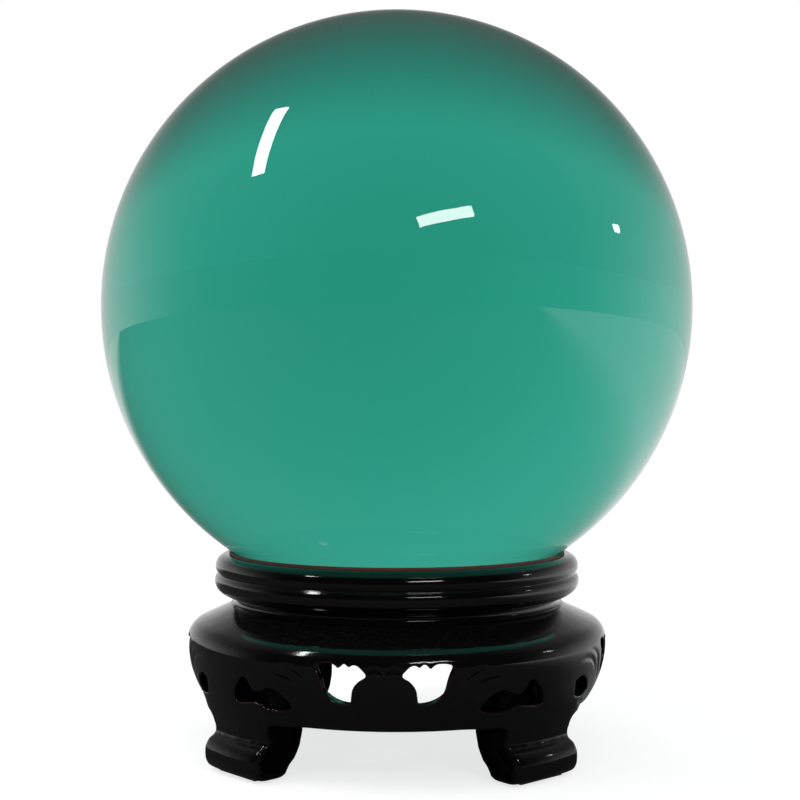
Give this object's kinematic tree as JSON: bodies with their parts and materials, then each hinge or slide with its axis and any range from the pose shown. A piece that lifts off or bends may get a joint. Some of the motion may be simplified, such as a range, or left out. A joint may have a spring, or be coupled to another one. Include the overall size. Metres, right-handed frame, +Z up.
{
  "type": "crystal ball",
  "caption": "Solid tinted glass ball resting in the felt-lined dish of a carved, pierced and lacquered wooden stand with scroll feet.",
  "frame": {"origin": "on the table, under the middle of the stand", "axes": "+Z up through the ball's middle; the front, -Y, is the middle of one apron, between two legs; +X right"},
  "size_m": [0.15, 0.15, 0.1869],
  "materials": {
    "green_glass": "polished, tinted through",
    "black_lacquer": "black gloss lacquer over carved hardwood",
    "red_felt": "thin pressed felt",
    "grey_felt": "thin pressed felt",
    "bare_wood": "bare turned dowel"
  },
  "bodies": {
    "stand": {"seat_lining": "red_felt", "top_ring": "black_lacquer", "waist_ring": "black_lacquer", "shoulder_ring": "black_lacquer", "apron_front": "black_lacquer", "apron_right": "black_lacquer", "apron_back": "black_lacquer", "apron_left": "black_lacquer", "leg_front_right": "black_lacquer", "leg_back_right": "black_lacquer", "leg_back_left": "black_lacquer", "leg_front_left": "black_lacquer", "leg_dowels": "bare_wood", "foot_pad_front_right": "grey_felt", "foot_pad_back_right": "grey_felt", "foot_pad_back_left": "grey_felt", "foot_pad_front_left": "grey_felt"},
    "ball": {"ball": "green_glass"}
  },
  "joints": [
    {"name": "ball_lift", "type": "slide", "parent": "stand", "child": "ball", "axis": [0, 0, 1], "range_m": [0, 0.1]}
  ]
}
